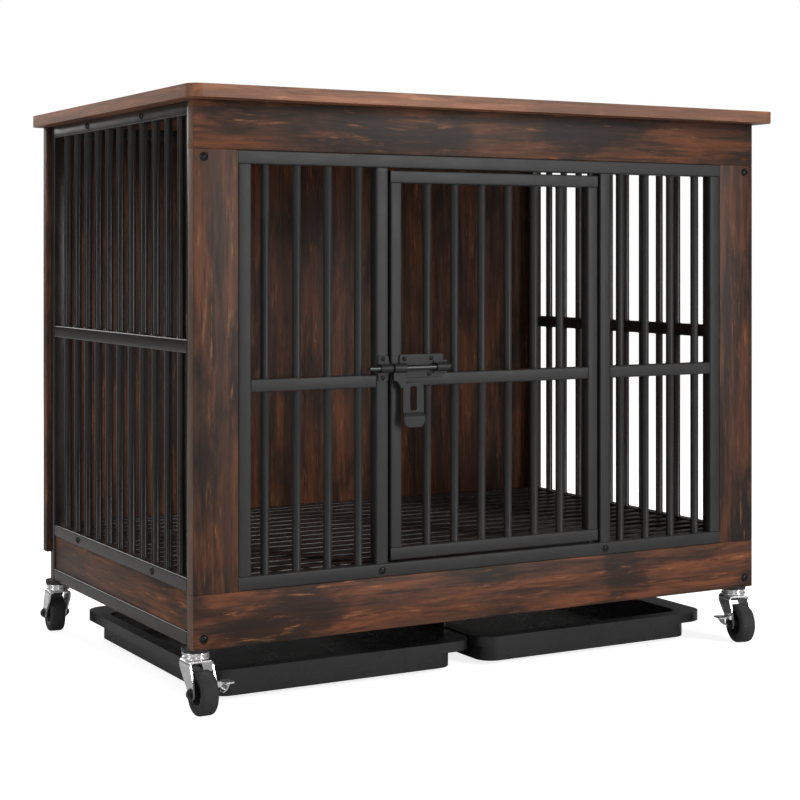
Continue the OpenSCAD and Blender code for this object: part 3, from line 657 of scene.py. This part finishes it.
def buildBoards(s):
    for node, finish in s["finish"].items():
        low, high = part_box(node)
        bm = bmesh.new()
        size = Matrix.Diagonal((*(high - low), 1))
        bmesh.ops.create_cube(bm, size=1, matrix=Matrix.Translation((low + high) / 2) @ size)
        bmesh.ops.bevel(bm, geom=bm.edges[:], offset=s["edge"], segments=s["segments"], profile=0.5,
                        affect="EDGES")
        makePiece(camel(node) + "Veneered", bm, finish, "crate", slotOf[node], node, sharp=50)
    easeEdges(finishNode("tabletop"), s["topEdge"], 4)


buildBoards(boardPieces)
print("boards finished")


tubeSettings = {
    "nodes": ["front_top_rail", "front_bottom_rail", "front_stiles", "front_mullions",
              "front_mid_rails", "left_side_rails", "left_side_stiles", "right_side_rails",
              "right_side_stiles", "back_rails", "door_rails", "door_stiles", "floor_slats"],
    "corner": 1.7 * mm, "wall": 1.2 * mm}


def buildTubes(s):
    for node in s["nodes"]:
        bm = bmesh.new()
        for low, high in looseBoxes(node):
            addTube(bm, low, high, s["corner"], s["wall"])
        standIn(camel(node) + "Tube", bm, node)


buildTubes(tubeSettings)
print("tubes built")


barSettings = {"nodes": ["front_bars", "left_side_bars", "right_side_bars", "door_bars"], "segments": 32,
               # shares of the bead's width and height, from the rail up
               "bead": 0.7 * mm, "beadHeight": 1.5 * mm,
               "beadShape": [(1, 0), (0.85, 0.35), (0.25, 0.75), (0, 1)]}


def buildBars(s):
    # each bar has a small coated weld bead where it meets a rail
    for node in s["nodes"]:
        bm = bmesh.new()
        for low, high in looseBoxes(node):
            r, length = (high.x - low.x) / 2, high.z - low.z
            place = Matrix.Translation(((low.x + high.x) / 2, (low.y + high.y) / 2, low.z))
            foot = [(r + s["bead"] * out, s["beadHeight"] * up) for out, up in s["beadShape"]]
            profile = foot + [(rr, length - h) for rr, h in reversed(foot)]
            addLathe(bm, [(0, 0), *profile, (0, length)], place, s["segments"])
        standIn(camel(node) + "Round", bm, node, sharp=50)


buildBars(barSettings)
print("bars built")


# CAD nodes that stay as they are but for their edges, which are rounded by so many millimetres
easedPieces = {"floor_bearers": 0.4, "tray_hanger": 0.4, "tray_arms": 0.4, "hinge_pins": 0.4,
               "stem_plugs": 0.4, "caster_stems": 0.4, "latch_bolt": 0.4, "hasp": 0.4,
               "left_tray": 1.0, "right_tray": 1.0}
for node, width in easedPieces.items():
    easeEdges(finishNode(node, "stampedSteel" if node == "hasp" else None), width * mm)


# heights in millimetres; the recess's length and width are shares of the head's radius, its depth one of
# the height
boltSettings = {
    "panel_bolts": {"height": 3.0, "rings": 16, "spokes": 48, "recess": 0.6, "width": 0.3, "depth": 0.6},
    "frame_bolts": {"height": 2.0, "rings": 14, "spokes": 40, "recess": 0.6, "width": 0.3, "depth": 0.6},
    "latch_screws": {"height": 1.4, "rings": 12, "spokes": 32, "recess": 0.55, "width": 0.2, "depth": 0.5},
    "keeper_screws": {"height": 1.4, "rings": 12, "spokes": 32, "recess": 0.55, "width": 0.2, "depth": 0.5}}
# shares of the radius and the height; the turns are in radians, and the side bolts lie past sideFrom
headShape = {"lip": 0.12, "rim": 0.22, "domeFoot": 0.25, "domeReach": 0.96,
             "armEdge": (1.15, 0.3), "tipEdge": (1.1, 0.2),
             "firstTurn": 0.5, "nextTurn": 1.3, "sideFrom": 0.38}


def fade(value, edge):
    # 1 well inside the edge, 0 outside it, with a slope as wide as the edge's second number
    return max(0.0, min(1.0, (edge[0] - value) / edge[1]))


def addBoltHead(bm, radius, matrix, s, shape):
    # domed head with a cross recess, on a thin rolled rim
    height = s["height"] * mm
    rings = [[(radius, 0.0)] * s["spokes"], [(radius, height * shape["rim"])] * s["spokes"]]
    for k in range(s["rings"]):
        share = 1 - k / s["rings"]
        r = radius * (1 - shape["lip"]) * share
        rise = sqrt(max(0.0, 1 - (share * shape["domeReach"]) ** 2))
        dome = height * (shape["domeFoot"] + (1 - shape["domeFoot"]) * rise)
        ring = []
        for i in range(s["spokes"]):
            a = 2 * pi * i / s["spokes"]
            x, y = abs(r * cos(a)), abs(r * sin(a))
            arm = min(x, y) / (radius * s["width"] * 0.5)
            reach = max(x, y) / (radius * s["recess"])
            inside = fade(arm, shape["armEdge"]) * fade(reach, shape["tipEdge"])
            ring.append((r, dome - height * s["depth"] * inside))
        rings.append(ring)
    loops = []
    for ring in rings:
        loops.append([bm.verts.new(matrix @ Vector((r * cos(2 * pi * i / len(ring)),
                                                    r * sin(2 * pi * i / len(ring)), h)))
                      for i, (r, h) in enumerate(ring)])
    bridgeLoops(bm, loops)
    bm.faces.new(loops[-1])
    bm.faces.new(list(reversed(loops[0])))


def buildBolts(settings, shape):
    # the heads stand on the faces that the CAD heads stand on, turned at odd angles
    for node, s in settings.items():
        bm = bmesh.new()
        depth = s["height"] * mm
        for k, (low, high) in enumerate(looseBoxes(node)):
            size, centre = high - low, (low + high) / 2
            onSide = node == "frame_bolts" and size.x < size.z and abs(centre.x) > shape["sideFrom"]
            if onSide:
                out = -1 if centre.x < 0 else 1
                face = Vector((low.x + depth if out < 0 else high.x - depth, centre.y, centre.z))
                turn = Matrix.Rotation(out * pi / 2, 4, "Y")
            else:
                face = Vector((centre.x, low.y + depth, centre.z))
                turn = Matrix.Rotation(pi / 2, 4, "X")
            spin = Matrix.Rotation(shape["firstTurn"] + k * shape["nextTurn"], 4, "Z")
            addBoltHead(bm, size.z / 2, Matrix.Translation(face) @ turn @ spin, s, shape)
        standIn(camel(node) + "Heads", bm, node, sharp=40, finish="boltBlack")


buildBolts(boltSettings, headShape)
print("fasteners built")


# strip of metal: a path in XZ, a span in Y at each of its points, and an even thickness
def addRibbon(bm, path, spans, thickness, matrix=Matrix()):
    rings = []
    for i, (x, z) in enumerate(path):
        before, after = path[max(i - 1, 0)], path[min(i + 1, len(path) - 1)]
        along = Vector((after[0] - before[0], after[1] - before[1])).normalized()
        off = Vector((-along.y, along.x)) * thickness / 2
        near, far = spans[i]
        corners = [(x + off.x, near, z + off.y), (x + off.x, far, z + off.y),
                   (x - off.x, far, z - off.y), (x - off.x, near, z - off.y)]
        rings.append([bm.verts.new(matrix @ Vector(c)) for c in corners])
    bridgeLoops(bm, rings)
    bm.faces.new(list(reversed(rings[0])))
    bm.faces.new(rings[-1])


def arc(cx, cz, radius, start, end, steps):
    return [(cx + radius * cos(radians(start + (end - start) * i / steps)),
             cz + radius * sin(radians(start + (end - start) * i / steps))) for i in range(steps + 1)]


def between(table, z):
    # straight-line value from (z, low, high) rows that run downwards
    for (z0, a0, b0), (z1, a1, b1) in zip(table, table[1:]):
        if z >= z1:
            t = min(1.0, max(0.0, (z0 - z) / (z0 - z1)))
            return a0 + (a1 - a0) * t, b0 + (b1 - b0) * t
    return table[-1][1:]


latchSettings = {"plateCorner": 2.5 * mm, "plateEase": 0.3 * mm, "strap": 1.3 * mm, "strapArch": 4.3 * mm,
                 "flange": 3.6 * mm, "flangeBend": 0.6 * mm, "flangeLift": 0.5 * mm,
                 "keeperInset": 0.8 * mm, "guideEase": 0.25 * mm, "keeperEase": 0.2 * mm}


def addStrap(bm, low, high, rodY, rodZ, faceY, s):
    # pressed strap over the rod: a flange, an arch and a flange, running along X
    r, t, bend = s["strapArch"], s["strap"], s["flangeBend"]
    y = faceY - t / 2
    lifted = y - s["flangeLift"]
    path = [(y, rodZ + r + s["flange"]), (y, rodZ + r + bend), (lifted, rodZ + r)]
    path += arc(rodY, rodZ, r, 90, 270, 16)
    path += [(lifted, rodZ - r), (y, rodZ - r - bend), (y, rodZ - r - s["flange"])]
    swap = Matrix(((0, 1, 0, 0), (1, 0, 0, 0), (0, 0, 1, 0), (0, 0, 0, 1)))
    addRibbon(bm, path, [(low, high)] * len(path), t, swap)


def addFacePlate(bm, low, high, s):
    # upright plate with rounded corners, between two corners of a box
    size, centre = high - low, (low + high) / 2
    place = Matrix.Translation((centre.x, high.y, centre.z)) @ Matrix.Rotation(pi / 2, 4, "X")
    addSheet(bm, roundedLoop(size.x, size.z, s["plateCorner"]), size.y, place, s["plateEase"])


def buildLatch(s):
    rod = [sum(c) / 2 for c in zip(*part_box("latch_bolt"))]
    low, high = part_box("latch_plate")
    bm = bmesh.new()
    addFacePlate(bm, low, high, s)
    standIn("latchPlatePressed", bm, "latch_plate", finish="stampedSteel")
    bm = bmesh.new()
    guideLow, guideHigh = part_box("latch_guide")
    addStrap(bm, guideLow.x, guideHigh.x, rod[1], rod[2], low.y, s)
    easeEdges(standIn("latchGuideStrap", bm, "latch_guide", finish="stampedSteel"), s["guideEase"], 2)
    keeperLow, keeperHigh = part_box("latch_keeper")
    bm = bmesh.new()
    addFacePlate(bm, Vector((keeperLow.x + s["keeperInset"], low.y, keeperLow.z)), keeperHigh, s)
    addStrap(bm, keeperLow.x, keeperHigh.x, rod[1], rod[2], low.y, s)
    easeEdges(standIn("latchKeeperStrap", bm, "latch_keeper", finish="stampedSteel"), s["keeperEase"], 2)


buildLatch(latchSettings)


capSettings = {"size": 12.4 * mm, "corner": 1.6 * mm, "thick": 1.4 * mm, "sunk": 0.2 * mm}


def capDoorRails(s):
    # plastic plugs close the ends of the door's top and bottom rails
    bm = bmesh.new()
    rails = sorted(looseBoxes("door_rails"), key=lambda b: b[1].x - b[0].x)[-2:]
    for low, high in rails:
        centre = (low + high) / 2
        for out, x in ((-1, low.x + s["sunk"]), (1, high.x - s["sunk"])):
            place = Matrix.Translation((x - out * s["thick"], centre.y, centre.z))
            addSheet(bm, roundedLoop(s["size"], s["size"], s["corner"]), s["thick"],
                     place @ Matrix.Rotation(out * pi / 2, 4, "Y"))
    makePiece("doorRailCaps", bm, "hubPlastic", "door", "hub_plastic")


capDoorRails(capSettings)
print("latch and caps built")


jointOf = {joint["name"]: joint for joint in frame["joints"]}
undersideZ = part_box("front_bottom_board")[0].z
# in millimetres from the swivel axis and the underside; the wheel's profiles are (radius, along the axle)
casterSettings = {
    "legMiddle": 13.5, "sheet": 2.0, "bridgeZ": -14.6, "bend": 4.0, "axleZ": -48, "trail": 20,
    # height, and the leg's two edges along Y
    "leg": [(-14, -15.5, 15), (-24, -19.8, 12), (-36, -25, 0.5), (-43, -26.6, -7.4), (-48, -27, -12.6),
            (-51.5, -26.1, -13.9), (-53.8, -23.8, -16.2), (-55, -21.5, -18.5)],
    "race": [(4.3, -4.9), (15.0, -4.9), (15.8, -5.3), (16.1, -6.1), (15.8, -7.0), (15.0, -7.5),
             (14.3, -7.8), (14.0, -8.5), (14.3, -9.2), (15.2, -9.5), (15.7, -10.2), (15.8, -11.4),
             (15.5, -12.6), (14.6, -13.4), (13.2, -13.7), (4.3, -13.7), (4.3, -4.9)],
    "axle": [(0, -15), (3, -15), (3, 15), (0, 15)],
    "axleEnd": [(0, 19.4), (2.9, 19.4), (3.0, 19.0), (3.0, 18.3)],
    "nut": [(0, 18.3), (4.6, 18.3), (5.4, 17.8), (5.4, 15.4), (0, 15.4)],
    "washer": [(0, 15.5), (6.6, 15.5), (6.8, 15.3), (6.8, 14.7), (0, 14.5)],
    "tyre": [(17.1, -9.2), (18.3, -9.8), (19.6, -9.9), (19.9, -9.55), (20.2, -9.9), (21.3, -9.95),
             (22.8, -9.55), (24.0, -8.6), (24.7, -7.3), (24.93, -5.8), (24.93, -0.35), (25.0, 0)],
    "hub": [(3.1, -12.0), (5.4, -12.0), (5.9, -11.6), (6.1, -4.6), (7.0, -3.6), (11.2, -3.5),
            (12.2, -4.2), (12.9, -8.2), (13.6, -8.8), (16.4, -9.0), (17.1, -8.6)],
    "ribs": 6, "rib": {"size": (7.2, 1.5), "corner": 0.5, "out": 9.3, "across": 5, "high": 4.4, "ease": 0.25}}


def mirrored(profile):
    return profile + [(r, -h) for r, h in reversed(profile) if h != 0]


def scaled(points):
    return [tuple(v * mm for v in point) for point in points]


def addRing(bm, profile, matrix, segments):
    # lathed ring whose profile closes on itself
    addLathe(bm, scaled(profile + profile[:1]), matrix, segments)
    bmesh.ops.remove_doubles(bm, verts=bm.verts, dist=1e-6)


def casterPlace(name):
    # local frame at the swivel axis: X along the axle, Y from the wheel to the axis
    post, wheel = jointOf[name + "_swivel"]["pos_m"], jointOf[name + "_roll"]["pos_m"]
    axle = Vector(jointOf[name + "_roll"]["axis"]).normalized()
    back = Vector((post[0] - wheel[0], post[1] - wheel[1], 0)).normalized()
    turn = Matrix((axle, back, Vector((0, 0, 1)))).transposed().to_4x4()
    return Matrix.Translation((post[0], post[1], undersideZ)) @ turn


def buildCaster(name, s):
    place = casterPlace(name)
    half, bend, top = s["legMiddle"], s["bend"], s["bridgeZ"]
    path = [(half, z) for z, _, _ in reversed(s["leg"][1:])] + [(half, top - bend)]
    path = path + arc(half - bend, top - bend, bend, 0, 90, 6)
    path = path + [(-x, z) for x, z in reversed(path)]
    bm = bmesh.new()
    addRibbon(bm, scaled(path), scaled([between(s["leg"], z) for x, z in path]), s["sheet"] * mm, place)
    easeEdges(standIn(camel(name) + "ForkSheet", bm, name + "_fork"), 0.45 * mm, 3, 40)
    bm = bmesh.new()
    addLathe(bm, scaled(s["race"]), place, 64)
    bmesh.ops.remove_doubles(bm, verts=bm.verts, dist=1e-6)
    makePiece(camel(name) + "Race", bm, "platingWithPaintedSheen", name + "_swivel", "chrome", sharp=50)
    wheel = place @ Matrix.Translation((0, -s["trail"] * mm, s["axleZ"] * mm))
    wheel = wheel @ Matrix.Rotation(pi / 2, 4, "Y")
    bm = bmesh.new()
    addLathe(bm, scaled(s["axle"]), wheel, 32)
    for flip in (Matrix(), Matrix.Rotation(pi, 4, "X")):
        for part, segments in (("axleEnd", 24), ("nut", 6), ("washer", 32)):
            addLathe(bm, scaled(s[part]), wheel @ flip, segments)
    standIn(camel(name) + "AxleNuts", bm, name + "_axle", sharp=25)
    bm = bmesh.new()
    addRing(bm, mirrored(s["tyre"]), wheel, 96)
    standIn(camel(name) + "TyreMoulded", bm, name + "_tyre", sharp=40)
    bm = bmesh.new()
    addRing(bm, mirrored(s["hub"]), wheel, 64)
    rib = s["rib"]
    outline = roundedLoop(rib["size"][0] * mm, rib["size"][1] * mm, rib["corner"] * mm, 3)
    for k in range(s["ribs"]):
        spin = wheel @ Matrix.Rotation(2 * pi * k / s["ribs"], 4, "Z")
        for side in (-1, 1):
            foot = side * rib["across"] - rib["high"] / 2
            offset = Matrix.Translation((rib["out"] * mm, 0, foot * mm))
            addSheet(bm, outline, rib["high"] * mm, spin @ offset, rib["ease"] * mm)
    standIn(camel(name) + "HubRibbed", bm, name + "_hub", sharp=30)


for casterName in ("front_left", "front_right", "back_left", "back_right"):
    buildCaster(casterName, casterSettings)


# in millimetres; the pivot is given in the caster's frame
pedalSettings = {
    "pivot": (17.7, -20, -39), "sheet": 1.8,
    # distance from the pivot, height, half width
    "plate": [(1.6, 0.6, 5.2), (4.2, 0.5, 5.2), (5.6, 0.4, 7.6), (7.0, 0.3, 9), (11, 0.2, 9), (15, 0.3, 9),
              (16.8, 0.5, 8.4), (17.8, 0.8, 6.8)],
    "web": {"centre": (-1, -0.3), "radius": 11.1, "from": -2, "to": -62, "steps": 9, "half": (9, 6),
            "sheet": 1.5},
    "barrel": [(0, -5.4), (2.3, -5.4), (2.6, -5.1), (2.6, 5.1), (2.3, 5.4), (0, 5.4)],
    "pin": [(0, -8.1), (1.5, -8.1), (1.5, 8.1), (0, 8.1)],
    "ear": {"at": (-6.5, 6.5), "radius": 3, "back": -3.2, "sheet": 2, "ease": 0.2}}


def buildPedal(name, s):
    # foot plate, the web below it, the barrel and the two ears on the fork's leg
    place = casterPlace(name)
    side = 1 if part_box(name + "_pedal")[0].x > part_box(name + "_tyre")[0].x else -1
    if side < 0:
        place = place @ Matrix.Scale(-1, 4, Vector((1, 0, 0)))
    pivot = place @ Matrix.Translation(Vector(s["pivot"]) * mm)
    bm = bmesh.new()
    addRibbon(bm, scaled([(x, z) for x, z, w in s["plate"]]), scaled([(-w, w) for x, z, w in s["plate"]]),
              s["sheet"] * mm, pivot)
    web = s["web"]
    path = arc(*web["centre"], web["radius"], web["from"], web["to"], web["steps"])
    wide, narrow = web["half"]
    halves = [wide + (narrow - wide) * i / web["steps"] for i in range(web["steps"] + 1)]
    addRibbon(bm, scaled(path), scaled([(-h, h) for h in halves]), web["sheet"] * mm, pivot)
    easeEdges(standIn(camel(name) + "PedalSheet", bm, name + "_pedal"), 0.35 * mm, 2, 40)
    bm = bmesh.new()
    acrossY = pivot @ Matrix.Rotation(-pi / 2, 4, "X")
    addLathe(bm, scaled(s["barrel"]), acrossY, 24)
    addLathe(bm, scaled(s["pin"]), acrossY, 20)
    makePiece(camel(name) + "PedalBarrel", bm, "platingWithPaintedSheen", name + "_pedal", "chrome")
    bm = bmesh.new()
    ear = s["ear"]
    r, back = ear["radius"], ear["back"]
    outline = [(back, -r), (0, -r), *arc(0, 0, r, -80, 80, 8), (0, r), (back, r)]
    for y in ear["at"]:
        face = Matrix.Translation((0, (y + ear["sheet"] / 2) * mm, 0))
        addSheet(bm, scaled(outline), ear["sheet"] * mm, pivot @ face @ Matrix.Rotation(pi / 2, 4, "X"),
                 ear["ease"] * mm)
    makePiece(camel(name) + "PedalEars", bm, "platingWithPaintedSheen", name + "_swivel", "chrome")


for casterName in ("front_left", "front_right"):
    buildPedal(casterName, pedalSettings)
print("casters built")


floorSettings = {"half": 25.0, "colour": (0.80, 0.80, 0.80), "unevenness": 0.97, "patches": 3.0,
                 "glow": 0.82, "rough": 0.7, "specular": 0.1}


def layFloor(s):
    # pale paper: the glow, which only the camera sees, carries the white on to the horizon
    mesh = bpy.data.meshes.new("studioFloor")
    h = s["half"]
    mesh.from_pydata([(-h, -h, 0), (h, -h, 0), (h, h, 0), (-h, h, 0)], [], [(0, 1, 2, 3)])
    floor = bpy.data.objects.new("studioFloor", mesh)
    material, tree, shader, w = startMaterial("paleFloor")
    place = tree.nodes.new("ShaderNodeTexCoord").outputs["Object"]
    darker = tuple(v * s["unevenness"] for v in s["colour"])
    paper = w.mix(w.noise(place, s["patches"], 4, 0.5), (*s["colour"], 1), (*darker, 1))
    w.put(paper, shader.inputs["Base Color"])
    shader.inputs["Roughness"].default_value = s["rough"]
    shader.inputs["Specular IOR Level"].default_value = s["specular"]
    shader.inputs["Emission Color"].default_value = (1, 1, 1, 1)
    seen = tree.nodes.new("ShaderNodeLightPath").outputs["Is Camera Ray"]
    w.put(w.math("MULTIPLY", seen, s["glow"]), shader.inputs["Emission Strength"])
    mesh.materials.append(material)
    bpy.context.scene.collection.objects.link(floor)


layFloor(floorSettings)
print("scene ready")
